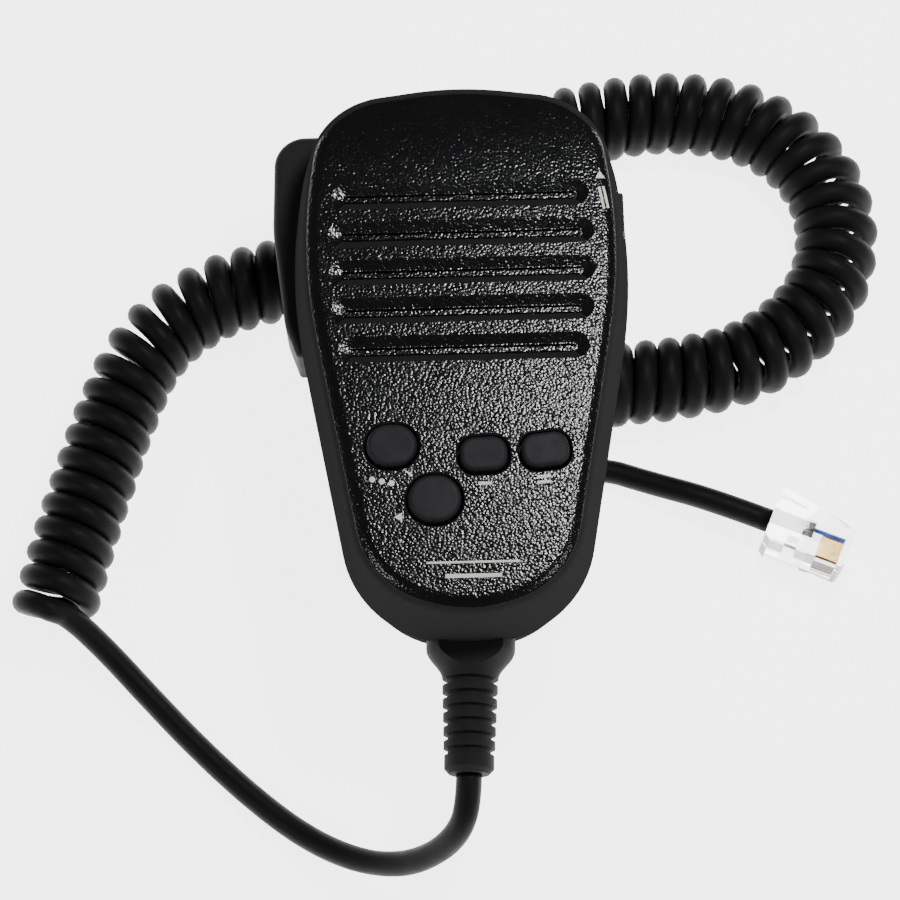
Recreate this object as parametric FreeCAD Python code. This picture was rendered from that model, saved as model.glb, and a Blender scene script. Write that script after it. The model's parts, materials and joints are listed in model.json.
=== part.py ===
import FreeCAD, Part
import math
import os
from FreeCAD import Vector

# Palm-sized hand microphone lying face up on its own curly cord. Millimetres.
# +X is to the right of the face, +Y towards the microphone end, +Z out of the face.
# The origin is the middle of the handset's box, without the cord.

# ---- driving dimensions: case ------------------------------------------------
BODY_X = 1.5  # the case's centre plane; the talk key widens the -X side
FACE_Z = 15.5  # front face
SEAM_Z = 3.5  # where the two shells meet
BACK_Z = -10.2  # rear face
STUD_Z = -16.3  # end of the hang-up stud
WALL = 1.8
FACE_WALL = 2.2
FRONT_DRAFT = 2.1  # how far the front shell draws in towards the face
REAR_DRAFT = 2.4  # the same for the rear shell
FACE_ROUND = 2.4
BACK_ROUND = 3.4
FACE_SLOPE_Y = 22.0  # past this the face bends away towards the top end
FACE_SLOPE_R = 90.0
SEAM_STEP = 0.25
SLIP = 0.05  # radial clearance of a running fit
SEAT = 0.01  # radial clearance of a pin or screw that stays still
CASE_SCREWS = [(-13.5, 31.0), (13.5, 31.0), (-10.8, -29.8), (10.8, -29.8)]
BOSS_R = 2.6

# Right half of the case's outline, from the top end down: x, y, corner radius.
OUTLINE = [
    (0.0, 40.9, 48.0),
    (21.6, 37.8, 13.5),
    (25.0, 12.6, 78.0),
    (15.8, -37.2, 15.4),
    (0.0, -41.9, 20.0),
]

# ---- driving dimensions: grille ------------------------------------------------
SLOT_TOP_Y = 21.1
SLOT_PITCH = 5.72
SLOT_LENGTHS = (36.3, 37.4, 37.3, 36.6, 34.8)
SLOT_HEIGHT = 3.9
SLOT_DEPTH = 0.5
SLOT_FLOOR = (3.4, 1.36, -0.18)  # the dish's floor: shorter by, height, shift in y
BAR_SHORTER = 4.0  # the raised bar in each slot
BAR_HEIGHT = 0.66
BAR_SHIFT = -0.46
BAR_DROP = 0.12
SLIT_HEIGHT = 0.44
SLIT_SHIFT = 0.13
CLOTH = 0.3

# ---- driving dimensions: front keys ----------------------------------------------
# name, x, y, turn in degrees and opening: width, height, corner radius
FACE_KEYS = [
    ("round_key_upper", -10.2, -15.9, 0.0, (7.6, 6.7, 3.349)),
    ("round_key_lower", -4.5, -23.6, 0.0, (7.9, 7.4, 3.699)),
    ("oblong_key_left", 2.3, -17.4, 2.0, (7.2, 5.6, 2.4)),
    ("oblong_key_right", 10.7, -17.0, 6.0, (7.2, 5.6, 2.4)),
]
KEY_BEVEL = 0.25
KEY_GAP = 0.3
KEY_PROUD = 0.8
KEY_ROUND = 0.72
KEY_TRAVEL = 0.6
KEY_FLANGE = 0.8
ROUND_FLANGE = (8.7, 8.7, 4.349)
OBLONG_FLANGE = (7.6, 6.6, 1.5)

# ---- driving dimensions: channel keys in the top end ---------------------------------
TOP_KEY_X = (-7.4, 7.4)
TOP_KEY_Z = 8.2
TOP_KEY_SIZE = (7.2, 3.8, 0.8)  # width, height, corner radius
TOP_KEY_PROUD = 0.1

# ---- driving dimensions: lock slider in the +X wall ---------------------------------
LOCK_Y = 20.8
LOCK_Z = 6.9
LOCK_TRAVEL = 2.4
LOCK_OUT = 23.5  # the knob's outer face

# ---- driving dimensions: hang-up stud --------------------------------------------------
STUD_Y = 19.0
STUD_NECK = 2.9
STUD_NECK_R = 3.6
STUD_HEAD_R = 6.2

# ---- driving dimensions: talk key ------------------------------------------------
TALK_PIVOT = (-19.2, 4.5)
TALK_Z = (-7.6, 3.1)
TALK_PIN_R = 1.0
TALK_WALL = 1.4
TALK_NUB_Z = (-1.6, -0.2)  # the nub and the switch plunger that it pushes
TALK_SPRING_Z = -2.2
TALK_OUTLINE = [
    (-20.6, 2.4, 0.5),
    (-23.9, 2.2, 0.6),
    (-25.6, 7.0, 8.0),
    (-27.3, 21.5, 25.0),
    (-27.0, 36.6, 4.6),
    (-18.0, 36.6, 0.6),
]

# ---- driving dimensions: board -------------------------------------------------
BOARD_Z = 2.0
BOARD_THICK = 1.6
BOARD_TOP = BOARD_Z + BOARD_THICK
BOARD_SCREWS = [(-13.0, -7.6), (13.0, -7.6), (0.0, 27.6)]
BOARD_OUTLINE = [
    (-10.0, 34.0, 0.8),
    (10.0, 34.0, 0.8),
    (10.0, 27.6, 0.6),
    (17.4, 27.6, 0.8),
    (17.4, -8.0, 1.0),
    (14.0, -27.0, 1.0),
    (8.0, -27.0, 0.6),
    (8.0, -31.6, 0.8),
    (-8.0, -31.6, 0.8),
    (-8.0, -27.0, 0.6),
    (-14.0, -27.0, 1.0),
    (-15.4, -8.0, 1.0),
    (-15.4, 27.6, 0.8),
    (-10.0, 27.6, 0.6),
]
CAPSULE_AT = (0.0, 9.7)

# ---- driving dimensions: cord -----------------------------------------------------
CORD_D = 3.6
COIL_OD = 12.9
COIL_GAP = 0.2  # between the case's back and the coil that it rests on
COIL_Z = BACK_Z - COIL_GAP - COIL_OD / 2
FLOOR_Z = COIL_Z - COIL_OD / 2
LAID_Z = FLOOR_Z + CORD_D / 2
RELIEF_Z = 0.3  # height of the cord's line where it leaves the case
RELIEF_FOOT_Y = -36.6
RELIEF_END_Y = -58.4
FOOT_R = 6.2  # the flared foot, which narrows to the sleeve
FOOT_END_Y = -41.0
FLARE_LENGTH = 4.2
SLEEVE_R = 3.9
RELIEF_TURN = -2.2  # the sleeve hangs a little to the -X side
RIBS = 5
RIB_PITCH = 1.95
CLAMP_X = (-4.6, 4.6)
CLAMP_Y = -34.6
CORE_ANGLES = (180, 120, 240, 60, 300, 0)  # round the cord, from the -X wire to the +X one

# ---- driving dimensions: plug -------------------------------------------------
PLUG_LENGTH = 12.34
PLUG_WIDTH = 9.65
PLUG_THICK = 6.6
PLUG_TURN = -23.0  # degrees from +X
PLUG_AT = (46.5, -17.9)  # where the cord enters it
PLUG_Z = FLOOR_Z + PLUG_WIDTH / 2
CONTACT_SIDE = -4.2  # the plug's contact side, below the cord's line
LATCH_SIDE = CONTACT_SIDE + PLUG_THICK
CONTACTS = 6
CONTACT_PITCH = 1.02

# ---- driving dimensions: routes of the cord ------------------------------------------
# From the strain relief down to the surface and along it to the coil.
LEAD_ROUTE = [
    (0.77, -58.39, 0.3),
    (0.64, -61.79, 0.3),
    (-0.4, -65.3, -2.4),
    (-3.5, -67.6, -7.4),
    (-8.6, -68.6, -12.8),
    (-15.2, -67.2, -17.4),
    (-22.8, -63.2, -20.4),
    (-30.6, -57.0, LAID_Z),
    (-38.6, -49.4, LAID_Z),
    (-45.8, -41.7, LAID_Z + 0.4),
    (-51.8, -35.2, LAID_Z + 2.8),
    (-56.8, -30.8, LAID_Z + 6.8),
]

# The curly cord's axis, in four lengths that meet face to face.
COIL_LEFT = [(-59.6, -30.6), (-58.0, -23.6), (-55.7, -15.4), (-53.3, -7.2), (-50.8, 0.6)]
COIL_LEFT += [(-47.9, 8.4), (-43.2, 14.6), (-36.6, 19.0), (-28.8, 21.4)]
COIL_UNDER = [(-21.4, 22.9), (-13.6, 25.7), (-6.4, 30.2), (0.6, 35.8), (7.6, 41.2), (15.2, 45.2)]
COIL_LOOP = [(23.6, 47.3), (32.2, 48.4), (40.8, 47.9), (49.0, 45.2), (55.6, 39.8), (59.3, 32.0)]
COIL_LOOP += [(59.4, 23.6), (56.0, 15.6), (49.6, 9.5), (41.6, 5.6), (33.0, 4.2), (24.8, 3.6)]
COIL_END = [(17.2, 2.4), (10.6, 0.8), (4.2, -0.8), (-2.0, -1.8)]

# From the hidden end of the coil, round under the case and out to the plug.
TAIL_ROUTE = [
    (-2.0, -1.8, LAID_Z),
    (-8.71, -2.88, LAID_Z),
    (-13.9, -7.18, LAID_Z),
    (-16.15, -13.55, LAID_Z),
    (-14.87, -20.2, LAID_Z),
    (-10.4, -25.25, LAID_Z),
    (-3.95, -27.32, LAID_Z),
    (2.7, -25.8, LAID_Z),
    (7.65, -21.1, LAID_Z),
    (9.5, -14.5, LAID_Z),
    (14.6, -9.5, LAID_Z),
    (21.9, -8.0, LAID_Z),
    (28.9, -10.8, LAID_Z + 0.9),
    (38.0, -14.29, PLUG_Z),
    (46.5, -17.9, PLUG_Z),
]

os.makedirs("parts", exist_ok=True)


# ---- helpers ----------------------------------------------------------------
def save(name, shape, handset=True):
    """Write one node; handset parts are drawn about the case's centre plane."""
    placed = shape.copy()
    if handset:
        placed.translate(Vector(BODY_X, 0, 0))
    if not placed.isValid():
        print("not valid:", name)
    placed.exportStep("parts/" + name + ".step")
    print(name, round(placed.Volume, 1))


def mirrored(right):
    left = [(-x, y, r) for x, y, r in reversed(right) if x > 0]
    return right + left


def inset_corners(corners, inset):
    """Move every edge of a clockwise outline inwards and shrink its radii."""
    moved = []
    count = len(corners)
    for i in range(count):
        before, here, after = corners[i - 1], corners[i], corners[(i + 1) % count]
        a = Vector(here[0] - before[0], here[1] - before[1], 0).normalize()
        b = Vector(after[0] - here[0], after[1] - here[1], 0).normalize()
        normal_a = Vector(a.y, -a.x, 0)
        normal_b = Vector(b.y, -b.x, 0)
        shift = (normal_a + normal_b) * (inset / (1 + normal_a.dot(normal_b)))
        moved.append((here[0] + shift.x, here[1] + shift.y, max(here[2] - inset, 0.05)))
    return moved


def corner_arcs(points, radii, closed):
    """Straight runs joined by tangent arcs, as a list of edges."""
    count = len(points)
    edges = []
    start = None if closed else points[0]
    first = None
    corners = range(count) if closed else range(1, count - 1)
    for i in corners:
        here = points[i]
        back = (points[i - 1] - here).normalize()
        ahead = (points[(i + 1) % count] - here).normalize()
        half = back.getAngle(ahead) / 2
        reach = radii[i] / math.tan(half)
        bisector = (back + ahead).normalize()
        middle = here + bisector * (radii[i] / math.sin(half) - radii[i])
        arc_start = here + back * reach
        arc_end = here + ahead * reach
        if start is not None and start.distanceToPoint(arc_start) > 1e-6:
            edges.append(Part.LineSegment(start, arc_start).toShape())
        edges.append(Part.Arc(arc_start, middle, arc_end).toShape())
        if first is None:
            first = arc_start
        start = arc_end
    end = first if closed else points[-1]
    if start.distanceToPoint(end) > 1e-6:
        edges.append(Part.LineSegment(start, end).toShape())
    return edges


def outline_wire(corners, z):
    points = [Vector(x, y, z) for x, y, r in corners]
    return Part.Wire(corner_arcs(points, [r for x, y, r in corners], True))


def prism(corners, z_low, z_high):
    face = Part.Face(outline_wire(corners, z_low))
    return face.extrude(Vector(0, 0, z_high - z_low))


def case_loft(levels):
    """A block through the case's outline at several levels: (inset, z)."""
    loop = mirrored(OUTLINE)
    wires = [outline_wire(inset_corners(loop, inset), z) for inset, z in levels]
    return Part.makeLoft(wires, True, True)


def box(x0, x1, y0, y1, z0, z1):
    return Part.makeBox(x1 - x0, y1 - y0, z1 - z0, Vector(x0, y0, z0))


def post(x, y, z0, z1, radius):
    return Part.makeCylinder(radius, z1 - z0, Vector(x, y, z0))


def rounded_plate(x, y, width, height, radius, z0, z1, turn=0.0):
    a, b = width / 2, height / 2
    corners = [(-a, b, radius), (a, b, radius), (a, -b, radius), (-a, -b, radius)]
    plate = prism(corners, z0, z1)
    plate.rotate(Vector(0, 0, 0), Vector(0, 0, 1), turn)
    plate.translate(Vector(x, y, 0))
    return plate


def soft_edges(solid, radius, chosen):
    """Round the edges that chosen() picks, leaving the solid alone if it can't."""
    edges = [edge for edge in solid.Edges if chosen(edge.BoundBox)]
    rounded = solid.makeFillet(radius, edges)
    return rounded if rounded.isValid() else solid


def joined(solids):
    whole = solids[0]
    for solid in solids[1:]:
        whole = whole.fuse(solid)
    return whole.removeSplitter()


def tube(points, diameter, name):
    """A round tube on straight runs and tangent arcs; prints its radii and volume."""
    route = [Vector(*point) for point in points]
    runs = [route[i].distanceToPoint(route[i + 1]) for i in range(len(route) - 1)]
    radii = [0.0]
    for i in range(1, len(route) - 1):
        back = (route[i - 1] - route[i]).normalize()
        ahead = (route[i + 1] - route[i]).normalize()
        half_turn = (math.pi - back.getAngle(ahead)) / 2
        radii.append(0.45 * min(runs[i - 1], runs[i]) / math.tan(half_turn))
    radii.append(0.0)
    path = Part.Wire(corner_arcs(route, radii, False))
    along = (route[1] - route[0]).normalize()
    ring = Part.Wire(Part.Circle(route[0], along, diameter / 2).toShape())
    solid = path.makePipeShell([ring], True, False)
    expected = math.pi * diameter**2 / 4 * path.Length
    print(name, "runs", [round(run, 1) for run in runs])
    print(name, "radii", [round(radius, 1) for radius in radii[1:-1]])
    print(name, "length", round(path.Length, 1), "volume ratio", round(solid.Volume / expected, 4))
    return solid


# ---- case -------------------------------------------------------------------
def face_profile(drop, far):
    """Everything below the face, which bends away past FACE_SLOPE_Y."""
    z = FACE_Z - drop
    bend_end = FACE_SLOPE_Y + FACE_SLOPE_R * math.sin(math.radians(15))
    bend_mid = FACE_SLOPE_Y + FACE_SLOPE_R * math.sin(math.radians(7.5))
    z_end = z - FACE_SLOPE_R * (1 - math.cos(math.radians(15)))
    z_mid = z - FACE_SLOPE_R * (1 - math.cos(math.radians(7.5)))
    start = Vector(-far, FACE_SLOPE_Y, z)
    end = Vector(-far, bend_end, z_end)
    corner_low = Vector(-far, bend_end, -far)
    corner_back = Vector(-far, -far, -far)
    corner_top = Vector(-far, -far, z)
    edges = [
        Part.LineSegment(corner_top, start).toShape(),
        Part.Arc(start, Vector(-far, bend_mid, z_mid), end).toShape(),
        Part.LineSegment(end, corner_low).toShape(),
        Part.LineSegment(corner_low, corner_back).toShape(),
        Part.LineSegment(corner_back, corner_top).toShape(),
    ]
    return Part.Face(Part.Wire(edges)).extrude(Vector(2 * far, 0, 0))


def front_block():
    block = case_loft([(SEAM_STEP, SEAM_Z), (0.0, SEAM_Z + SEAM_STEP), (FRONT_DRAFT, FACE_Z + 0.5)])
    block = block.common(face_profile(0.0, 60.0))
    return soft_edges(block, FACE_ROUND, lambda b: b.ZMin > FACE_Z - 4.5 and b.ZMax - b.ZMin < 3.5)


def rear_block():
    block = case_loft([(REAR_DRAFT, BACK_Z), (0.0, SEAM_Z - SEAM_STEP), (SEAM_STEP, SEAM_Z)])
    return soft_edges(block, BACK_ROUND, lambda b: b.ZMax < BACK_Z + 0.01)


def talk_opening():
    """The opening in the rear shell's -X wall, up to the seam and round the top corner."""
    low, high = TALK_Z[0] - 0.4, SEAM_Z + 0.1
    return box(-40, -16.6, 1.6, 37.2, low, high).fuse(box(-20, -15.7, 32.0, 37.2, low, high))


def relief_neck(grow):
    """The strain relief's neck in the bottom wall, with a flange inside the case."""
    neck = rounded_plate(0, RELIEF_Z, 8.4 + 2 * grow, 7.0 + 2 * grow, 2.5, 0, 6)
    flange = rounded_plate(0, RELIEF_Z, 10.6 + 2 * grow, 9.0 + 2 * grow, 2.5, 0, 1.4 + grow)
    held = neck.fuse(flange).removeSplitter()
    held.rotate(Vector(0, 0, 0), Vector(1, 0, 0), 90)
    held.translate(Vector(0, RELIEF_FOOT_Y, 0))
    return held


def stadium(y, length, height, z0, z1):
    return rounded_plate(0, y, length, height, height / 2 - 0.001, z0, z1)


def lower_rim(plate):
    return min(plate.Faces, key=lambda face: face.CenterOfMass.z).OuterWire


def slot_cutter(y, length):
    """One grille slot: a dished well with a raised bar in it and a sound slit above the bar."""
    shorter, height, shift = SLOT_FLOOR
    floor_z = FACE_Z - SLOT_DEPTH
    mouth = stadium(y, length, SLOT_HEIGHT, FACE_Z + 0.01, FACE_Z + 1)
    floor = stadium(y + shift, length - shorter, height, floor_z, FACE_Z)
    dish = Part.makeLoft([lower_rim(mouth), lower_rim(floor)], True, True)
    bar = stadium(y + BAR_SHIFT, length - BAR_SHORTER, BAR_HEIGHT, floor_z - 0.1, FACE_Z - BAR_DROP)
    slit = stadium(y + SLIT_SHIFT, length - BAR_SHORTER, SLIT_HEIGHT, FACE_Z - FACE_WALL - 1, FACE_Z)
    return dish.cut(bar).fuse(slit)


def key_opening(x, y, width, height, radius, turn):
    """A hole through the face with a bevelled rim."""
    hole = rounded_plate(x, y, width, height, radius, FACE_Z - FACE_WALL - 1, FACE_Z + 1, turn)
    rims = []
    for grow, z in ((KEY_BEVEL, FACE_Z + 0.01), (0.0, FACE_Z - KEY_BEVEL)):
        size = (width + 2 * grow, height + 2 * grow, radius + grow)
        rims.append(lower_rim(rounded_plate(x, y, *size, z, z + 1, turn)))
    return hole.fuse(Part.makeLoft(rims, True, True))


def key_openings():
    cutters = []
    for name, x, y, turn, opening in FACE_KEYS:
        cutters.append(key_opening(x, y, *opening, turn))
    return cutters


def front_shell():
    outer = front_block()
    hollow = case_loft([(WALL, SEAM_Z - 1), (FRONT_DRAFT + WALL, FACE_Z + 0.5)])
    shell = outer.cut(hollow.common(face_profile(FACE_WALL, 60.0)))
    inner = face_profile(FACE_WALL - 0.3, 60.0)
    for x, y in CASE_SCREWS:
        boss = post(x, y, SEAM_Z, FACE_Z, BOSS_R).common(inner)
        shell = shell.fuse(boss).cut(post(x, y, SEAM_Z - 1, SEAM_Z + 7.6, 1.11))
    for x, y in BOARD_SCREWS:
        boss = post(x, y, BOARD_TOP, FACE_Z, 2.1).common(inner)
        shell = shell.fuse(boss).cut(post(x, y, BOARD_TOP - 1, BOARD_TOP + 5.4, 0.91))
    x, y = TALK_PIVOT
    pivot = post(x, y, TALK_Z[1] + 0.4, FACE_Z - FACE_WALL + 0.3, 2.2)
    shell = shell.fuse(pivot).cut(post(x, y, TALK_Z[1], TALK_Z[1] + 3.0, TALK_PIN_R + SEAT))
    for number, length in enumerate(SLOT_LENGTHS):
        shell = shell.cut(slot_cutter(SLOT_TOP_Y - number * SLOT_PITCH, length))
    for cutter in key_openings():
        shell = shell.cut(cutter)
    for x in TOP_KEY_X:
        width, height, radius = TOP_KEY_SIZE
        hole = rounded_plate(x, TOP_KEY_Z, width + 2 * KEY_GAP, height + 2 * KEY_GAP, radius, 0, 12)
        hole.rotate(Vector(0, 0, 0), Vector(1, 0, 0), 90)
        hole.translate(Vector(0, 44, 0))
        shell = shell.cut(hole)
    slot_end = LOCK_Y + 3.0 + LOCK_TRAVEL + 0.4
    shell = shell.cut(box(19, 30, LOCK_Y - 3.4, slot_end, LOCK_Z - 2.1, LOCK_Z + 2.1))
    shell = shell.cut(relief_neck(0.02))
    return shell.removeSplitter()


def rear_shell():
    outer = rear_block()
    hollow = case_loft([(REAR_DRAFT + WALL + 0.9, BACK_Z + WALL), (WALL, SEAM_Z + 1)])
    shell = outer.cut(hollow)
    floor = BACK_Z + WALL
    for x, y in CASE_SCREWS:
        shell = shell.fuse(post(x, y, BACK_Z + 0.5, SEAM_Z, BOSS_R))
        shell = shell.cut(post(x, y, BACK_Z - 1, BACK_Z + 2.4, 2.15))
        shell = shell.cut(post(x, y, BACK_Z, SEAM_Z + 1, 1.2))
    shell = shell.cut(talk_opening())
    x, y = TALK_PIVOT
    shell = shell.fuse(post(x, y, floor - 0.3, TALK_Z[0] - 0.4, 2.2).common(outer))
    shell = shell.cut(post(x, y, TALK_Z[0] - 1.0, TALK_Z[0], TALK_PIN_R + SEAT))
    shell = shell.fuse(box(-16.6, -15.8, 9.0, 15.0, floor - 0.3, TALK_SPRING_Z + 3.0))
    for x in CLAMP_X:
        clamp_post = post(x, CLAMP_Y, floor - 0.3, RELIEF_Z + 1.9, 1.9)
        shell = shell.fuse(clamp_post.common(outer))
        shell = shell.cut(post(x, CLAMP_Y, RELIEF_Z - 3, RELIEF_Z + 3, 0.8 + SEAT))
    shell = shell.fuse(post(0, STUD_Y, floor - 0.3, floor + 2.2, 4.0))
    shell = shell.cut(post(0, STUD_Y, BACK_Z - 1, floor + 3, 1.35))
    shell = shell.cut(relief_neck(0.02))
    return shell.removeSplitter()


def screw(x, y, head_z, head_height, head_radius, tip_z, shank_radius):
    """A pan-head screw driven in +Z, with a cross recess in its head."""
    head = post(x, y, head_z, head_z + head_height, head_radius)
    shank = post(x, y, head_z + head_height, tip_z, shank_radius)
    solid = head.fuse(shank)
    arm = head_radius * 0.62
    for across, along in ((arm, 0.2), (0.2, arm)):
        cross = box(x - across, x + across, y - along, y + along, head_z - 1, head_z + 0.6)
        solid = solid.cut(cross)
    return solid.removeSplitter()


def case_screws():
    return [screw(x, y, BACK_Z + 0.7, 1.6, 2.0, SEAM_Z + 7.0, 1.09) for x, y in CASE_SCREWS]


def board_screws():
    return [screw(x, y, BOARD_Z - 1.2, 1.2, 1.8, BOARD_TOP + 5.0, 0.9) for x, y in BOARD_SCREWS]


# ---- talk key ---------------------------------------------------------------
def talk_key():
    """A hollow key on a barrel, with a nub for the switch and a seat for the spring."""
    z0, z1 = TALK_Z
    key = prism(TALK_OUTLINE, z0, z1)
    key = soft_edges(key, 1.1, lambda b: b.XMin < -21.5 and b.ZMax - b.ZMin < 0.01)
    inside = prism(inset_corners(TALK_OUTLINE, TALK_WALL), z0, z1)
    open_side = box(-22.5, -17.5, 8.0, 35.2, z0, z1)
    pocket = box(-26.4, -17.5, 8.0, 35.2, z0 + TALK_WALL, z1 - TALK_WALL)
    key = key.cut(pocket.common(inside.fuse(open_side)))
    x, y = TALK_PIVOT
    web = box(-22.4, x, y - 1.9, y + 1.9, z0, z1)
    barrel = post(x, y, z0, z1, 2.1)
    key = key.fuse(web).fuse(barrel).cut(post(x, y, z0 - 1, z1 + 1, TALK_PIN_R + SLIP))
    nub = box(-26.4, -18.35, 20.9, 23.1, *TALK_NUB_Z)
    seat = box(-25.2, -23.4, 9.8, 14.2, z0 + 0.7, z1 - 0.7)
    return key.fuse(nub).fuse(seat).removeSplitter()


def talk_key_spring():
    """A compression coil between the key's seat and the rear shell's bracket."""
    length, radius, wire = 6.2, 1.7, 0.35
    helix = Part.makeHelix(length / 5.5, length, radius)
    ring = Part.Wire(Part.Circle(Vector(radius, 0, 0), Vector(0, 1, 0), wire / 2).toShape())
    coil = Part.Wire(helix.Edges).makePipeShell([ring], True, True)
    coil.rotate(Vector(0, 0, 0), Vector(0, 1, 0), 90)
    coil.translate(Vector(-23.1, 12.0, TALK_SPRING_Z))
    return coil


# ---- keys in the face and the top end -------------------------------------------
def key_cap(x, y, width, height, radius, turn, flange_size):
    """A domed cap with a retaining flange and a stem down to its switch."""
    top = FACE_Z + KEY_PROUD
    under = FACE_Z - FACE_WALL - 0.25
    cap = rounded_plate(x, y, width, height, radius, under - KEY_FLANGE, top, turn)
    cap = soft_edges(cap, KEY_ROUND, lambda b: b.ZMin > top - 0.01)
    flange = rounded_plate(x, y, *flange_size, under - KEY_FLANGE, under, turn)
    stem = post(x, y, BOARD_TOP + 4.6, under - KEY_FLANGE, 1.2)
    return cap.fuse(flange).fuse(stem).removeSplitter()


def front_keys():
    for name, x, y, turn, (width, height, radius) in FACE_KEYS:
        size = (width - 2 * KEY_GAP, height - 2 * KEY_GAP, radius - KEY_GAP)
        flange = ROUND_FLANGE if name.startswith("round") else OBLONG_FLANGE
        yield name, x, y, key_cap(x, y, *size, turn, flange)


def tact_switch(x, y):
    body = box(x - 3, x + 3, y - 3, y + 3, BOARD_TOP, BOARD_TOP + 3.5)
    body = body.cut(post(x, y, BOARD_TOP + 0.9, BOARD_TOP + 4, 1.1))
    return body


def tact_plunger(x, y):
    return post(x, y, BOARD_TOP + 1.8, BOARD_TOP + 4.6, 1.0)


def top_wall_y(x):
    """Outer face of the top wall at the channel keys' height."""
    drawn_in = FRONT_DRAFT * (TOP_KEY_Z - SEAM_Z) / (FACE_Z - SEAM_Z)
    return 40.9 - abs(x) * (40.9 - 37.8) / 21.6 - drawn_in


def channel_key(x):
    outer = top_wall_y(x) + TOP_KEY_PROUD
    cap = rounded_plate(x, TOP_KEY_Z, *TOP_KEY_SIZE, 0, outer - 35.6)
    cap = soft_edges(cap, 0.5, lambda b: b.ZMax < 0.01)
    cap.rotate(Vector(0, 0, 0), Vector(1, 0, 0), 90)
    cap.translate(Vector(0, outer, 0))
    flange = box(x - 4.4, x + 4.4, 34.6, 35.7, TOP_KEY_Z - 2.7, TOP_KEY_Z + 2.7)
    return cap.fuse(flange).removeSplitter()


def channel_plunger(x):
    return Part.makeCylinder(0.9, 2.8, Vector(x, 31.8, TOP_KEY_Z), Vector(0, 1, 0))


def channel_switch(x):
    body = box(x - 2.9, x + 2.9, 29.9, 33.2, BOARD_TOP, BOARD_TOP + 7.2)
    hollow = Part.makeCylinder(1.0, 3, Vector(x, 31.1, TOP_KEY_Z), Vector(0, 1, 0))
    return body.cut(hollow)


# ---- lock slider ------------------------------------------------------------
def lock_slider():
    """A knob with grip grooves and a flange inside the wall."""
    knob = box(18.6, LOCK_OUT, LOCK_Y - 3.0, LOCK_Y + 3.0, LOCK_Z - 1.7, LOCK_Z + 1.7)
    knob = soft_edges(knob, 0.4, lambda b: b.XMin > LOCK_OUT - 0.1)
    for i in range(-2, 3):
        y = LOCK_Y + i * 1.0
        knob = knob.cut(box(LOCK_OUT - 0.3, 25, y - 0.2, y + 0.2, LOCK_Z - 2, LOCK_Z + 2))
    flange = box(18.0, 19.0, LOCK_Y - 4.6, LOCK_Y + 4.6, LOCK_Z - 3.2, LOCK_Z + 3.2)
    return knob.fuse(flange).removeSplitter()


def lock_switch():
    body = box(11.6, 17.4, LOCK_Y - 5.5, LOCK_Y + 6.5, BOARD_TOP, BOARD_TOP + 6.6)
    channel = box(14.6, 18, LOCK_Y - 3.0, LOCK_Y + 4.4, LOCK_Z - 1.3, LOCK_Z + 1.3)
    return body.cut(channel)


def lock_actuator():
    return box(15.0, 18.0, LOCK_Y - 1.6, LOCK_Y + 1.6, LOCK_Z - 1.0, LOCK_Z + 1.0)


# ---- inside -----------------------------------------------------------------
def circuit_board():
    board = prism(BOARD_OUTLINE, BOARD_Z, BOARD_TOP)
    for x, y in BOARD_SCREWS:
        board = board.cut(post(x, y, BOARD_Z - 1, BOARD_TOP + 1, 1.0))
    return board


def small_parts():
    """Chip resistors and capacitors on the board's rear face."""
    parts = []
    for row in range(3):
        for column in range(5):
            x = -9.5 + 4.2 * column
            y = -6.0 + 3.6 * row - (12 if column > 3 else 0)
            parts.append(box(x - 1.0, x + 1.0, y - 0.6, y + 0.6, BOARD_Z - 0.8, BOARD_Z))
    return parts


def grille_cloth():
    top = FACE_Z - FACE_WALL
    low = SLOT_TOP_Y - 4 * SLOT_PITCH - 2.6
    return box(-16.9, 16.9, low, SLOT_TOP_Y + 0.8, top - CLOTH, top)


def capsule_boot():
    x, y = CAPSULE_AT
    top = FACE_Z - FACE_WALL - CLOTH
    boot = post(x, y, top - 6.4, top, 6.2)
    return boot.cut(post(x, y, top - 5.4, top, 4.9)).cut(post(x, y, top - 7, top, 2.0))


def microphone_capsule():
    x, y = CAPSULE_AT
    top = FACE_Z - FACE_WALL - CLOTH
    can = post(x, y, top - 5.4, top - 0.4, 4.88)
    return can.cut(post(x, y, top - 0.7, top, 3.6))


def talk_switch():
    body = box(-15.3, -9.3, 17.0, 27.0, BOARD_Z - 5.6, BOARD_Z)
    low, high = TALK_NUB_Z
    return body.cut(box(-16, -12.2, 20.7, 23.3, low - 0.2, high + 0.2))


def talk_switch_plunger():
    return box(-18.1, -13.8, 20.9, 23.1, *TALK_NUB_Z)


def cord_header():
    body = box(-6.5, 6.5, -27.4, -22.8, BOARD_Z - 4.0, BOARD_Z)
    for i in range(CONTACTS):
        x = -5.0 + 2.0 * i
        body = body.cut(box(x - 0.6, x + 0.6, -28, -25.4, BOARD_Z - 3.0, BOARD_Z - 1.0))
    return body


def cord_cores():
    """Thin wires that fan from the cord's inner end to the header."""
    wires = []
    for i, degrees in enumerate(CORE_ANGLES):
        angle = math.radians(degrees)
        start = Vector(1.05 * math.cos(angle), -31.2, RELIEF_Z + 1.05 * math.sin(angle))
        end = Vector(-5.0 + 2.0 * i, -27.6, BOARD_Z - 2.0)
        step = end - start
        wires.append(Part.makeCylinder(0.4, step.Length, start, step))
    return wires


def cord_inner_end():
    return Part.makeCylinder(CORD_D / 2, 5.0, Vector(0, RELIEF_FOOT_Y, RELIEF_Z), Vector(0, 1, 0))


def cord_clamp():
    """A steel strap across the cord, screwed to two posts."""
    z = RELIEF_Z + CORD_D / 2 + 0.1
    plate = box(-6.6, 6.6, CLAMP_Y - 1.4, CLAMP_Y + 1.4, z, z + 1.0)
    for x in CLAMP_X:
        plate = plate.cut(post(x, CLAMP_Y, z - 1, z + 2, 0.95))
    return plate


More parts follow.
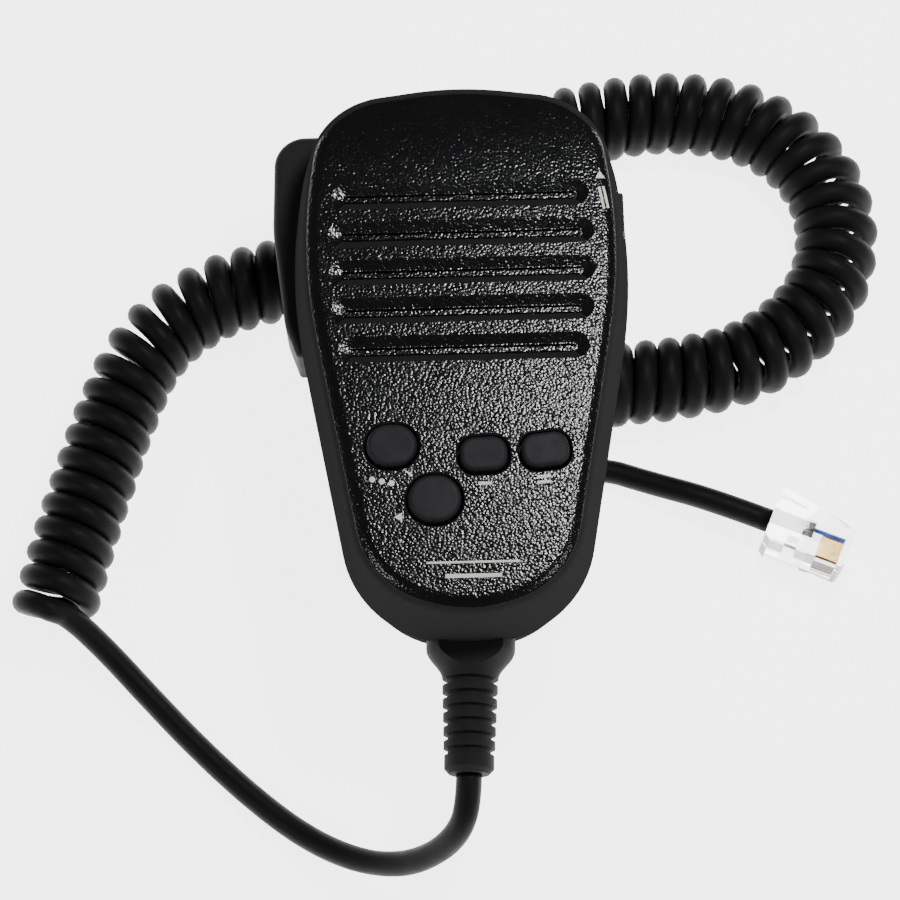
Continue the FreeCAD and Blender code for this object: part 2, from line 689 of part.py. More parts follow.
def clamp_screws():
    z = RELIEF_Z + CORD_D / 2 + 1.1
    screws = []
    for x in CLAMP_X:
        head = post(x, CLAMP_Y, z, z + 0.9, 1.5)
        screws.append(head.fuse(post(x, CLAMP_Y, z - 4.4, z, 0.8)).removeSplitter())
    return screws


def hang_up_stud():
    """A mushroom stud: a neck that hangs in a clip and a wider, rounded head."""
    solid = post(0, STUD_Y, BACK_Z - STUD_NECK, BACK_Z, STUD_NECK_R)
    head = post(0, STUD_Y, STUD_Z, BACK_Z - STUD_NECK, STUD_HEAD_R)
    head = soft_edges(head, 1.1, lambda b: b.ZMax < STUD_Z + 0.01)
    return solid.fuse(head).cut(post(0, STUD_Y, STUD_Z + 1.4, BACK_Z + 1, 1.26)).removeSplitter()


def stud_screw():
    top = BACK_Z + WALL + 2.2
    shank = post(0, STUD_Y, STUD_Z + 1.6, top, 1.24)
    return shank.fuse(post(0, STUD_Y, top, top + 1.5, 2.3)).removeSplitter()


# ---- strain relief ------------------------------------------------------------
def strain_relief():
    """A flared foot on the bottom wall, a ribbed sleeve and an end collar."""
    foot_y = RELIEF_FOOT_Y
    profile = [(0.0, foot_y), (3.4, foot_y), (3.4, -39.4), (FOOT_R, -39.4), (FOOT_R, FOOT_END_Y)]
    for i in range(1, 9):
        drop = (1 - math.cos(math.pi * i / 8)) / 2
        profile.append((FOOT_R + (SLEEVE_R - FOOT_R) * drop, FOOT_END_Y - FLARE_LENGTH * i / 8))
    y = FOOT_END_Y - FLARE_LENGTH
    for i in range(RIBS + 1):
        groove_r = 3.25 - 0.05 * i
        rib_r = 3.85 - 0.07 * i
        profile += [(groove_r, y), (groove_r, y - 0.95)]
        if i < RIBS:
            profile += [(rib_r, y - 0.95), (rib_r, y - RIB_PITCH)]
            y -= RIB_PITCH
    profile += [(3.45, y - 0.95), (3.45, RELIEF_END_Y + 0.7), (2.8, RELIEF_END_Y)]
    profile += [(0.0, RELIEF_END_Y)]
    points = [Vector(radius, along, 0) for radius, along in profile]
    points.append(points[0])
    sleeve = Part.Face(Part.makePolygon(points)).revolve(Vector(0, 0, 0), Vector(0, 1, 0), 360)
    flat = box(-10, 10, -60, -30, -4.3, 4.3)
    sleeve = sleeve.common(flat)
    sleeve.translate(Vector(0, 0, RELIEF_Z))
    sleeve.rotate(Vector(0, -39.4, 0), Vector(0, 0, 1), RELIEF_TURN)
    foot = sleeve.cut(front_block()).cut(rear_block())
    outside = sorted(foot.Solids, key=lambda solid: solid.BoundBox.YMin)[0]
    return joined([outside, relief_neck(0.0)])


# ---- plug -----------------------------------------------------------------------
def placed_plug(shape):
    """Plug parts are drawn lying on one side, cord end at the origin, nose to +X."""
    placed = shape.copy()
    placed.rotate(Vector(0, 0, 0), Vector(0, 0, 1), PLUG_TURN)
    placed.translate(Vector(PLUG_AT[0], PLUG_AT[1], PLUG_Z))
    return placed


def plug_body():
    half = PLUG_WIDTH / 2
    profile = [
        (0.0, CONTACT_SIDE + 0.8),
        (0.9, CONTACT_SIDE),
        (PLUG_LENGTH - 0.5, CONTACT_SIDE),
        (PLUG_LENGTH, CONTACT_SIDE + 0.5),
        (PLUG_LENGTH, LATCH_SIDE - 0.9),
        (PLUG_LENGTH - 0.9, LATCH_SIDE - 0.6),
        (1.0, LATCH_SIDE),
        (0.0, LATCH_SIDE - 0.7),
    ]
    points = [Vector(x, y, -half) for x, y in profile]
    points.append(points[0])
    body = Part.Face(Part.makePolygon(points)).extrude(Vector(0, 0, PLUG_WIDTH))
    body = soft_edges(body, 0.35, lambda b: b.ZMax - b.ZMin < 0.01 and abs(b.YMax - b.YMin) < 0.01)
    jacket_way = box(-1, 6.61, -1.31, 1.31, -2.61, 2.61)
    body = body.cut(jacket_way)
    press_bar = box(3.2, 5.0, CONTACT_SIDE - 1, -1.9, -2.2, 2.2)
    body = body.cut(press_bar)
    for i in range(CONTACTS):
        z = (i - (CONTACTS - 1) / 2) * CONTACT_PITCH
        body = body.cut(box(7.99, 11.31, CONTACT_SIDE - 1, 0.35, z - 0.18, z + 0.18))
        wire_way = Part.makeCylinder(0.47, 5.0, Vector(6.5, 0.0, z), Vector(1, 0, 0))
        body = body.cut(wire_way)
    return placed_plug(body)


def plug_latch():
    """The springy tongue that holds the plug in its socket."""
    profile = [
        (PLUG_LENGTH - 0.4, LATCH_SIDE - 0.7),
        (PLUG_LENGTH - 0.5, LATCH_SIDE + 0.5),
        (PLUG_LENGTH - 2.2, LATCH_SIDE + 1.0),
        (0.4, LATCH_SIDE + 2.9),
        (0.2, LATCH_SIDE + 2.0),
        (PLUG_LENGTH - 2.8, LATCH_SIDE - 0.05),
    ]
    points = [Vector(x, side, -1.6) for x, side in profile]
    points.append(points[0])
    tongue = Part.Face(Part.makePolygon(points)).extrude(Vector(0, 0, 3.2))
    half = PLUG_WIDTH / 2
    block = box(-1, PLUG_LENGTH + 1, CONTACT_SIDE, LATCH_SIDE - 0.55, -half, half)
    tongue = tongue.cut(block)
    return placed_plug(tongue)


def plug_contacts():
    blades = []
    for i in range(CONTACTS):
        z = (i - (CONTACTS - 1) / 2) * CONTACT_PITCH
        blade = box(8.0, 11.3, CONTACT_SIDE + 0.35, -0.48, z - 0.17, z + 0.17)
        blades.append(placed_plug(blade))
    return blades


def plug_jacket():
    """The cord's jacket, flattened where the plug's bar grips it."""
    jacket = box(0.01, 6.6, -1.3, 1.3, -2.6, 2.6)
    return placed_plug(soft_edges(jacket, 0.9, lambda b: b.XMax - b.XMin > 5))


def plug_cores():
    cores = []
    for i in range(CONTACTS):
        z = (i - (CONTACTS - 1) / 2) * CONTACT_PITCH
        core = Part.makeCylinder(0.46, 4.7, Vector(6.61, 0.0, z), Vector(1, 0, 0))
        cores.append(placed_plug(core))
    return cores


# ---- cord ------------------------------------------------------------------------
def coil_lengths():
    """The curly cord as one fat tube of its outer diameter, in four lengths."""
    chain = [COIL_LEFT, COIL_UNDER, COIL_LOOP, COIL_END]
    names = ["curly_cord_left", "curly_cord_under", "curly_cord_loop", "curly_cord_end"]
    for number, (name, part) in enumerate(zip(names, chain)):
        route = list(part)
        if number > 0:
            route.insert(0, midway(chain[number - 1][-1], part[0]))
        if number < len(chain) - 1:
            route.append(midway(part[-1], chain[number + 1][0]))
        points = [(x, y, COIL_Z) for x, y in route]
        yield name, tube(points, COIL_OD, name)


def midway(a, b):
    return ((a[0] + b[0]) / 2, (a[1] + b[1]) / 2)


# ---- write every node -----------------------------------------------------------
save("front_shell", front_shell())
save("rear_shell", rear_shell())
save("case_screws", Part.makeCompound(case_screws()))
save("talk_key", talk_key())
pin_x, pin_y = TALK_PIVOT
save("talk_key_pin", post(pin_x, pin_y, TALK_Z[0] - 0.9, TALK_Z[1] + 2.9, TALK_PIN_R))
save("talk_key_spring", talk_key_spring())
save("talk_switch", talk_switch())
save("talk_switch_plunger", talk_switch_plunger())
switches = []
for key_name, key_x, key_y, key_shape in front_keys():
    save(key_name, key_shape)
    save(key_name + "_plunger", tact_plunger(key_x, key_y))
    switches.append(tact_switch(key_x, key_y))
save("key_switches", Part.makeCompound(switches))
for side, key_x in zip(("left", "right"), TOP_KEY_X):
    save("channel_key_" + side, channel_key(key_x))
    save("channel_key_" + side + "_plunger", channel_plunger(key_x))
save("channel_switches", Part.makeCompound([channel_switch(x) for x in TOP_KEY_X]))
save("lock_slider", lock_slider())
save("lock_actuator", lock_actuator())
save("lock_switch", lock_switch())
save("circuit_board", circuit_board())
save("board_screws", Part.makeCompound(board_screws()))
save("control_chip", box(-4.0, 4.0, 8.0, 16.0, BOARD_Z - 1.4, BOARD_Z))
save("small_parts", Part.makeCompound(small_parts()))
save("grille_cloth", grille_cloth())
save("capsule_boot", capsule_boot())
save("microphone_capsule", microphone_capsule())
save("cord_header", cord_header())
save("cord_cores", Part.makeCompound(cord_cores()))
save("cord_inner_end", cord_inner_end())
save("cord_clamp", cord_clamp())
save("clamp_screws", Part.makeCompound(clamp_screws()))
save("hang_up_stud", hang_up_stud())
save("stud_screw", stud_screw())
save("strain_relief", strain_relief())
save("cord_lead", tube(LEAD_ROUTE, CORD_D, "cord_lead"), False)
for coil_name, coil in coil_lengths():
    save(coil_name, coil, False)
save("cord_tail", tube(TAIL_ROUTE, CORD_D, "cord_tail"), False)
save("plug_body", plug_body(), False)
save("plug_latch", plug_latch(), False)
save("plug_contacts", Part.makeCompound(plug_contacts()), False)
save("plug_jacket", plug_jacket(), False)
save("plug_cores", Part.makeCompound(plug_cores()), False)
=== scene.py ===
import json
import math

import bpy
from mathutils import Matrix, Vector


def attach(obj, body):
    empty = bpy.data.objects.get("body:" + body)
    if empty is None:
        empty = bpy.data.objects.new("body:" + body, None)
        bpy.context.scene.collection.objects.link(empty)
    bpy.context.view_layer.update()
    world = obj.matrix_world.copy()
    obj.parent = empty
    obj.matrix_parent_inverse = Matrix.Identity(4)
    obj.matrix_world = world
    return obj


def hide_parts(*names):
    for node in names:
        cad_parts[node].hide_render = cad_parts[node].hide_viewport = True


MM = 0.001

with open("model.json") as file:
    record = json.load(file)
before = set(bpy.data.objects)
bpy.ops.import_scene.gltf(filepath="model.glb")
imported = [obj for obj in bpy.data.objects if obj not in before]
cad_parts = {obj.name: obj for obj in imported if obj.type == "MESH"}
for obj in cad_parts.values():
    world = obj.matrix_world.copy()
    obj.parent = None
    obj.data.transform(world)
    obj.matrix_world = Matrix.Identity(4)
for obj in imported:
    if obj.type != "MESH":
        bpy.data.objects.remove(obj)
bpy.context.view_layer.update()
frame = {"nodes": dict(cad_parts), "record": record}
NODES = frame["nodes"]
SLOT_OF = {part["node"]: part["material_slot"] for part in frame["record"]["subparts"]}

# ---- camera -------------------------------------------------------------------
LENS = 100.62
SENSOR = 36.0
EYE = Vector((-0.766, -122.416, 341.027)) * MM
RIGHT = Vector((0.99971, -0.02283, -0.00742))
UP = Vector((0.02401, 0.95078, 0.30893))
BACK = RIGHT.cross(UP).normalized()

camera_data = bpy.data.cameras.new("camera")
camera_data.lens = LENS
camera_data.sensor_width = SENSOR
camera_data.clip_start = 0.01
camera = bpy.data.objects.new("camera", camera_data)
bpy.context.collection.objects.link(camera)
axes = Matrix((RIGHT, UP, BACK)).transposed().to_4x4()
camera.matrix_world = Matrix.Translation(EYE) @ axes
bpy.context.scene.camera = camera

# ---- the cord's route, as the CAD model has it, in millimetres ------------------------
BODY_X = 1.5
FACE_Z = 15.5
CORD_D = 3.6
COIL_OD = 12.9
COIL_Z = -16.85
FLOOR_Z = -23.3
LAID_Z = -21.5
PLUG_Z = -18.475
COIL_R = (COIL_OD - CORD_D) / 2
CURVE_STEPS = 10  # points between two control points of a route
RING_GAP = 0.12  # least distance between two rings of the drawn cord
CORD_SIDES = 14
TINY = 1e-6

LEAD = [
    (0.77, -58.39, 0.3),
    (0.64, -61.79, 0.3),
    (-0.4, -65.3, -2.4),
    (-3.5, -67.6, -7.4),
    (-8.6, -68.6, -12.8),
    (-15.2, -67.2, -17.4),
    (-22.8, -63.2, -20.4),
    (-30.6, -57.0, LAID_Z),
    (-38.6, -49.4, LAID_Z),
    (-45.8, -41.7, LAID_Z + 0.4),
    (-51.8, -35.2, LAID_Z + 2.8),
    (-56.8, -30.8, LAID_Z + 6.8),
]
COIL = [
    (-59.6, -30.6), (-58.0, -23.6), (-55.7, -15.4), (-53.3, -7.2), (-50.8, 0.6),
    (-47.9, 8.4), (-43.2, 14.6), (-36.6, 19.0), (-28.8, 21.4),
    (-21.4, 22.9), (-13.6, 25.7), (-6.4, 30.2), (0.6, 35.8), (7.6, 41.2), (15.2, 45.2),
    (23.6, 47.3), (32.2, 48.4), (40.8, 47.9), (49.0, 45.2), (55.6, 39.8), (59.3, 32.0),
    (59.4, 23.6), (56.0, 15.6), (49.6, 9.5), (41.6, 5.6), (33.0, 4.2), (24.8, 3.6),
    (17.2, 2.4), (10.6, 0.8), (4.2, -0.8), (-2.0, -1.8),
]
TAIL = [
    (-2.0, -1.8, LAID_Z),
    (-8.71, -2.88, LAID_Z),
    (-13.9, -7.18, LAID_Z),
    (-16.15, -13.55, LAID_Z),
    (-14.87, -20.2, LAID_Z),
    (-10.4, -25.25, LAID_Z),
    (-3.95, -27.32, LAID_Z),
    (2.7, -25.8, LAID_Z),
    (7.65, -21.1, LAID_Z),
    (9.5, -14.5, LAID_Z),
    (14.6, -9.5, LAID_Z),
    (21.9, -8.0, LAID_Z),
    (28.9, -10.8, LAID_Z + 0.9),
    (38.0, -14.29, PLUG_Z),
    (46.5, -17.9, PLUG_Z),
]


def nurbs_line(points):
    """The points of one smooth line whose control points these are."""
    curve = bpy.data.curves.new("route", "CURVE")
    curve.dimensions = "3D"
    curve.resolution_u = CURVE_STEPS
    spline = curve.splines.new("NURBS")
    spline.points.add(len(points) - 1)
    for place, point in zip(spline.points, points):
        place.co = (*point, 1.0)
    spline.order_u = 3
    spline.use_endpoint_u = True
    holder = bpy.data.objects.new("route", curve)
    bpy.context.collection.objects.link(holder)
    mesh = bpy.data.meshes.new_from_object(holder)
    line = [vertex.co.copy() for vertex in mesh.vertices]
    bpy.data.objects.remove(holder)
    bpy.data.curves.remove(curve)
    bpy.data.meshes.remove(mesh)
    return line


class Axis:
    """The middle line of the curly cord, found by distance along it."""

    def __init__(self, line):
        self.line = line
        self.reach = [0.0]
        for a, b in zip(line, line[1:]):
            self.reach.append(self.reach[-1] + (b - a).length)
        self.length = self.reach[-1]
        self.step = 0

    def at(self, along):
        along = min(max(along, 0.0), self.length - TINY)
        while self.reach[self.step + 1] < along:
            self.step += 1
        while self.reach[self.step] > along:
            self.step -= 1
        a, b = self.line[self.step], self.line[self.step + 1]
        share = (along - self.reach[self.step]) / (self.reach[self.step + 1] - self.reach[self.step])
        return a.lerp(b, share)

    def ahead(self, along, span=1.5):
        along = min(max(along, span), self.length - span)
        return (self.at(along + span) - self.at(along - span)).normalized()

    def bend(self, along, span=4.0):
        turn = self.ahead(along + span).angle(self.ahead(along - span))
        return turn / (2 * span)


STEPS = 24  # points in each turn
TOUCHING = 3.64  # distance between turns where they lie side by side
START_OPENING, START_REACH = 2.0, 1.6  # how far the first turns stand open, and over what length
END_OPENING, END_REACH = 14.0, 2.2
BEND_OPENING = 2.2  # mm of extra room for each radian per mm of bend
WALK = 0.05  # mm between the places where the pitch is summed
WOBBLE, WOBBLE_TURN = 0.02, 0.37  # unevenness of the coil's radius
END_SHRINK, SHRINK_REACH = 0.1, 0.5
START_TURN = math.radians(112)  # round the axis from its left side, over the top
END_TURN = math.radians(-90)


def pitch(axis, along):
    """Distance between turns at a place: nearly touching, opened by a bend and at the two ends."""
    open_start = START_OPENING * math.exp(-along / START_REACH)
    open_end = END_OPENING * math.exp(-(axis.length - along) / END_REACH)
    return TOUCHING / (1 - BEND_OPENING * axis.bend(along)) + open_start + open_end


def helix_points():
    """The middle of the cord in the coil, a whole number of turns past where the lead joins."""
    axis = Axis(nurbs_line([(x, y, COIL_Z) for x, y in COIL]))
    count = int(axis.length / WALK)
    turns = sum(WALK / pitch(axis, (i + 0.5) * WALK) for i in range(count))
    part_turn = (START_TURN - END_TURN) / math.tau
    whole = round(turns - part_turn)
    stretch = turns / (whole + part_turn)
    points = []
    along = 0.0
    turn = START_TURN
    last = END_TURN - whole * math.tau
    while turn > last + TINY:
        here = axis.at(along)
        side = Vector((-axis.ahead(along).y, axis.ahead(along).x, 0)).normalized()
        wobble = 1 - WOBBLE * abs(math.sin(turn * WOBBLE_TURN))
        swell = 1 - END_SHRINK * math.exp(-along / SHRINK_REACH)
        out = side * math.cos(turn) + Vector((0, 0, 1)) * math.sin(turn)
        points.append(here + out * COIL_R * wobble * swell)
        turn -= math.tau / STEPS
        along += pitch(axis, along) * stretch / STEPS
    return points


def cord_line():
    """The middle of the whole cord in metres: lead, coil and tail, joined without a corner."""
    helix = helix_points()
    head = STEPS
    start = nurbs_line(LEAD + [tuple(point) for point in helix[1:head]])
    end = nurbs_line([tuple(point) for point in helix[-STEPS:]] + TAIL[1:])
    line = start + helix[head:-STEPS] + end
    kept = [line[0]]
    for point in line[1:]:
        if (point - kept[-1]).length > RING_GAP:
            kept.append(point)
    return [point * MM for point in kept]


def tube_mesh(name, line, radius, sides):
    """A closed tube of rings square to the line, turned as little as possible."""
    vertices, faces = [], []
    across = None
    for i, point in enumerate(line):
        ahead = (line[min(i + 1, len(line) - 1)] - line[max(i - 1, 0)]).normalized()
        if across is None:
            across = ahead.orthogonal().normalized()
        across = (across - ahead * across.dot(ahead)).normalized()
        other = ahead.cross(across)
        for k in range(sides):
            angle = math.tau * k / sides
            vertices.append(point + (across * math.cos(angle) + other * math.sin(angle)) * radius)
    for i in range(len(line) - 1):
        for k in range(sides):
            a, b = i * sides + k, i * sides + (k + 1) % sides
            faces.append((a, b, b + sides, a + sides))
    faces.append(tuple(reversed(range(sides))))
    faces.append(tuple(range((len(line) - 1) * sides, len(line) * sides)))
    mesh = bpy.data.meshes.new(name)
    mesh.from_pydata([tuple(v) for v in vertices], [], faces)
    mesh.shade_smooth()
    piece = bpy.data.objects.new(name, mesh)
    bpy.context.collection.objects.link(piece)
    return piece


# ---- materials --------------------------------------------------------------------
class Nodes:
    """A short way to write a material's nodes and links."""

    def __init__(self, name):
        self.material = bpy.data.materials.new(name)
        self.material.use_nodes = True
        self.tree = self.material.node_tree
        self.shader = self.tree.nodes["Principled BSDF"]
        self.place = self.add("ShaderNodeTexCoord").outputs["Object"]
        self.normal = self.add("ShaderNodeTexCoord").outputs["Normal"]

    def add(self, kind, **settings):
        node = self.tree.nodes.new(kind)
        for key, value in settings.items():
            setattr(node, key, value)
        return node

    def put(self, value, socket):
        if isinstance(value, bpy.types.NodeSocket):
            self.tree.links.new(value, socket)
        else:
            socket.default_value = value

    def math(self, operation, a, b=0.0):
        node = self.add("ShaderNodeMath", operation=operation)
        self.put(a, node.inputs[0])
        self.put(b, node.inputs[1])
        return node.outputs[0]

    def split(self, vector):
        node = self.add("ShaderNodeSeparateXYZ")
        self.put(vector, node.inputs[0])
        return node.outputs

    def ramp(self, value, low, high, to_low=0.0, to_high=1.0, smooth=True):
        node = self.add("ShaderNodeMapRange")
        node.interpolation_type = "SMOOTHSTEP" if smooth else "LINEAR"
        for socket, number in zip(node.inputs, (value, low, high, to_low, to_high)):
            self.put(number, socket)
        return node.outputs[0]

    def noise(self, scale, detail=2.0, rough=0.5, stretch=None, distort=0.0):
        node = self.add("ShaderNodeTexNoise")
        place = self.place
        if stretch:
            mapping = self.add("ShaderNodeMapping")
            self.put(place, mapping.inputs["Vector"])
            mapping.inputs["Scale"].default_value = stretch
            place = mapping.outputs[0]
        self.put(place, node.inputs["Vector"])
        node.inputs["Scale"].default_value = scale
        node.inputs["Detail"].default_value = detail
        node.inputs["Roughness"].default_value = rough
        node.inputs["Distortion"].default_value = distort
        return node.outputs["Fac"]

    def cells(self, scale, feature="F1", spread=1.0):
        node = self.add("ShaderNodeTexVoronoi", feature=feature)
        self.put(self.place, node.inputs["Vector"])
        node.inputs["Scale"].default_value = scale
        node.inputs["Randomness"].default_value = spread
        return node.outputs["Distance"]

    def mix_color(self, share, a, b):
        node = self.add("ShaderNodeMix", data_type="RGBA")
        self.put(share, node.inputs[0])
        self.put(a, node.inputs[6])
        self.put(b, node.inputs[7])
        return node.outputs[2]

    def bump(self, height, distance, strength=1.0):
        node = self.add("ShaderNodeBump")
        node.inputs["Strength"].default_value = 1.0
        self.put(strength, node.inputs["Strength"])
        node.inputs["Distance"].default_value = distance
        self.put(height, node.inputs["Height"])
        self.put(node.outputs[0], self.shader.inputs["Normal"])

    def finish(self, **sockets):
        for name, value in sockets.items():
            self.put(value, self.shader.inputs[name.replace("_", " ")])
        return self.material


def rgb(r, g, b):
    return (r, g, b, 1.0)


GRAIN_DEPTH = 0.00005
DOMES_PER_M = 2500.0  # one rounded speck of the grain every 0.4 mm
LUMPS_PER_M = 2800.0
SATIN_PER_M = 5200.0
DARK_LOW = rgb(0.0030, 0.0031, 0.0034)
DARK_HIGH = rgb(0.0048, 0.0049, 0.0053)
# painted sheen: a lighter grey for the satin walls, standing in for the light they reflect
WALL_PAINTED_SHEEN_GREY = rgb(0.0190, 0.0190, 0.0196)


def case_material(name):
    """Spark-eroded grain on the face and back, satin on the walls and on the slots' far slopes; the satin
    parts carry a lighter grey that is painted sheen, standing in for the light they reflect.
    """
    n = Nodes(name)
    along, out = n.split(n.normal)[1:]
    face = n.ramp(n.math("ABSOLUTE", out), 0.66, 0.84)
    grained = n.math("MULTIPLY", face, n.ramp(along, 0.26, 0.36, 1.0, 0.04))
    cell = n.cells(DOMES_PER_M)
    domes = n.math("MULTIPLY", cell, cell)
    lumps = n.math("MULTIPLY", n.noise(LUMPS_PER_M, 1.0, 0.5, distort=0.3), 0.7)
    coarse = n.math("SUBTRACT", lumps, domes)
    satin = n.math("MULTIPLY", n.noise(SATIN_PER_M, 2.0), 0.08)
    n.bump(n.math("ADD", n.math("MULTIPLY", coarse, grained), satin), GRAIN_DEPTH, 1.0)
    mottled = n.mix_color(n.noise(90.0, 3.0), DARK_LOW, DARK_HIGH)
    # painted sheen: surfaces facing sideways or up the case get the lighter wall grey instead of the
    # face's dark mottle
    color = n.mix_color(n.ramp(grained, 0.0, 0.5), WALL_PAINTED_SHEEN_GREY, mottled)
    gloss = n.ramp(n.noise(600.0, 2.0), 0.3, 0.7, 0.14, 0.2)
    rough = n.math("ADD", gloss, n.ramp(grained, 0.0, 0.5, 0.5, 0.0))
    level = n.ramp(grained, 0.0, 0.6, 0.0, 0.5)
    return n.finish(Base_Color=color, Roughness=rough, Specular_IOR_Level=level)


def plastic(name, low, high, rough, grain=4200.0, depth=0.00002, level=0.5):
    """Moulded plastic or rubber: slight mottling, a fine grain and uneven gloss."""
    n = Nodes(name)
    color = n.mix_color(n.noise(140.0, 3.0), low, high)
    n.bump(n.noise(grain, 2.0), depth, 0.7)
    gloss = n.ramp(n.noise(420.0, 2.0), 0.3, 0.7, rough - 0.04, rough + 0.05)
    n.shader.inputs["Specular IOR Level"].default_value = level
    return n.finish(Base_Color=color, Roughness=gloss)


def metal(name, low, high, rough, stretch=(1.0, 1.0, 14.0)):
    """Drawn or plated metal with fine lines along its length."""
    n = Nodes(name)
    color = n.mix_color(n.noise(300.0, 3.0), low, high)
    brushed = n.noise(900.0, 2.0, stretch=stretch)
    n.bump(brushed, 0.00001, 0.5)
    gloss = n.ramp(brushed, 0.3, 0.7, rough - 0.06, rough + 0.08)
    n.shader.inputs["Metallic"].default_value = 1.0
    return n.finish(Base_Color=color, Roughness=gloss)


def clear(name):
    """Clear moulded plastic with a faint flow and patches of wear."""
    n = Nodes(name)
    n.bump(n.noise(260.0, 2.0), 0.00004, 0.5)
    gloss = n.ramp(n.noise(500.0, 2.0), 0.35, 0.7, 0.02, 0.09)
    n.shader.inputs["Transmission Weight"].default_value = 1.0
    n.shader.inputs["IOR"].default_value = 1.5
    color = n.mix_color(n.noise(60.0, 2.0), rgb(0.97, 0.98, 0.98), rgb(0.99, 0.995, 1.0))
    return n.finish(Base_Color=color, Roughness=gloss)


THREADS = 14000.0  # radians of weave in each metre


def woven(name):
    """A plain weave of fine black threads, with painted shade darkening the hollows between them."""
    n = Nodes(name)
    x, y = n.split(n.place)[:2]
    warp = n.math("SINE", n.math("MULTIPLY", x, THREADS))
    weft = n.math("SINE", n.math("MULTIPLY", y, THREADS))
    weave = n.math("MULTIPLY", warp, weft)
    n.bump(weave, 0.00005, 0.8)
    # painted shade: the colour follows the weave height, darker in the low places between threads
    color = n.mix_color(n.ramp(weave, -1.0, 1.0), rgb(0.004, 0.004, 0.004), rgb(0.02, 0.02, 0.02))
    return n.finish(Base_Color=color, Roughness=n.ramp(n.noise(800.0), 0.3, 0.7, 0.7, 0.9))


MATERIALS = {
    "case_plastic": case_material("case_plastic"),
    "talk_key_plastic": plastic(
        "talk_key_plastic", rgb(0.0200, 0.0200, 0.0205), rgb(0.0260, 0.0260, 0.0268), 0.6, level=0.08
    ),
    "key_plastic": plastic(
        "key_plastic",
        rgb(0.0155, 0.0155, 0.0175),
        rgb(0.0195, 0.0195, 0.0220),
        0.55,
        grain=3600.0,
        depth=0.000012,
        level=0.15,
    ),
    "switch_plastic": plastic("switch_plastic", rgb(0.01, 0.01, 0.01), rgb(0.02, 0.02, 0.02), 0.5),
    "plunger_plastic": plastic("plunger_plastic", rgb(0.62, 0.6, 0.53), rgb(0.7, 0.68, 0.62), 0.45),
    "steel": metal("steel", rgb(0.5, 0.5, 0.51), rgb(0.62, 0.62, 0.63), 0.3),
    "stud_steel": metal("stud_steel", rgb(0.38, 0.38, 0.39), rgb(0.48, 0.48, 0.5), 0.28),
    "board_laminate": plastic("board_laminate", rgb(0.01, 0.12, 0.04), rgb(0.015, 0.17, 0.06), 0.3),
    "chip_plastic": plastic("chip_plastic", rgb(0.012, 0.012, 0.013), rgb(0.02, 0.02, 0.022), 0.55),
    "chip_ceramic": plastic("chip_ceramic", rgb(0.3, 0.22, 0.13), rgb(0.42, 0.32, 0.2), 0.4),
    "cloth": woven("cloth"),
    "boot_rubber": plastic("boot_rubber", rgb(0.01, 0.01, 0.01), rgb(0.018, 0.018, 0.018), 0.7),
    "capsule_metal": metal("capsule_metal", rgb(0.6, 0.6, 0.62), rgb(0.72, 0.72, 0.74), 0.32),
    "header_plastic": plastic("header_plastic", rgb(0.72, 0.71, 0.66), rgb(0.8, 0.79, 0.75), 0.4),
    "core_plastic": plastic("core_plastic", rgb(0.015, 0.07, 0.5), rgb(0.02, 0.1, 0.62), 0.35),
    "cord_rubber": plastic(
        "cord_rubber",
        rgb(0.0075, 0.0075, 0.0080),
        rgb(0.0110, 0.0110, 0.0116),
        0.5,
        grain=3000.0,
        depth=0.000016,
        level=0.08,
    ),
    "relief_rubber": plastic(
        "relief_rubber",
        rgb(0.0155, 0.0155, 0.0165),
        rgb(0.0205, 0.0205, 0.0220),
        0.65,
        grain=2600.0,
        depth=0.00003,
        level=0.06,
    ),
    "clear_plastic": clear("clear_plastic"),
    "contact_gold": metal("contact_gold", rgb(0.86, 0.5, 0.16), rgb(0.95, 0.66, 0.28), 0.22),
    "jacket_plastic": plastic("jacket_plastic", rgb(0.02, 0.02, 0.022), rgb(0.05, 0.05, 0.052), 0.5),
}

for node, piece in NODES.items():
    for place in piece.material_slots:
        place.material = MATERIALS[SLOT_OF[node]]

# ---- cord --------------------------------------------------------------------------
CORD_NODES = [
    "cord_lead", "curly_cord_left", "curly_cord_under", "curly_cord_loop", "curly_cord_end", "cord_tail",
]
line = cord_line()
cord = tube_mesh("cord", line, CORD_D / 2 * MM, CORD_SIDES)
cord.data.materials.append(MATERIALS["cord_rubber"])
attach(cord, "handset")
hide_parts(*CORD_NODES)

# ---- printed marks --------------------------------------------------------------------
INK = plastic("ink", rgb(0.76, 0.74, 0.66), rgb(0.90, 0.88, 0.80), 0.6, grain=1800.0, depth=0.00003)
ABOVE_FACE = 5  # mm from the face to where the rays start
FACE_LIFT = 0.05
EDGE_LIFT = 0.09  # more, because the face curves away there
SHELL = NODES["front_shell"]


def on_face(x, y, lift):
    """A place that far above the front shell, whose face is found by a ray straight down."""
    to_shell = SHELL.matrix_world.inverted()
    start = Vector((x + BODY_X, y, FACE_Z + ABOVE_FACE)) * MM
    down = to_shell.to_3x3() @ Vector((0, 0, -1))
    place = SHELL.ray_cast(to_shell @ start, down)[1]
    return SHELL.matrix_world @ place + Vector((0, 0, lift)) * MM


def flat_mark(name, shapes, lift):
    """Ink shapes lying on the face, each a list of corners in the case's own frame."""
    vertices, faces = [], []
    for shape in shapes:
        start = len(vertices)
        vertices += [tuple(on_face(x, y, lift)) for x, y in shape]
        faces.append(tuple(range(start, len(vertices))))
    mesh = bpy.data.meshes.new(name)
    mesh.from_pydata(vertices, [], faces)
    mesh.materials.append(INK)
    piece = bpy.data.objects.new(name, mesh)
    bpy.context.collection.objects.link(piece)
    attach(piece, "handset")
    return piece


def bar(x, y, width, height, turn=0.0):
    """The corners of a bar about (x, y), turned in degrees."""
    c, s = math.cos(math.radians(turn)), math.sin(math.radians(turn))
    u, v = width / 2, height / 2
    corners = [(-u, -v), (u, -v), (u, v), (-u, v)]
    return [(x + a * c - b * s, y + a * s + b * c) for a, b in corners]


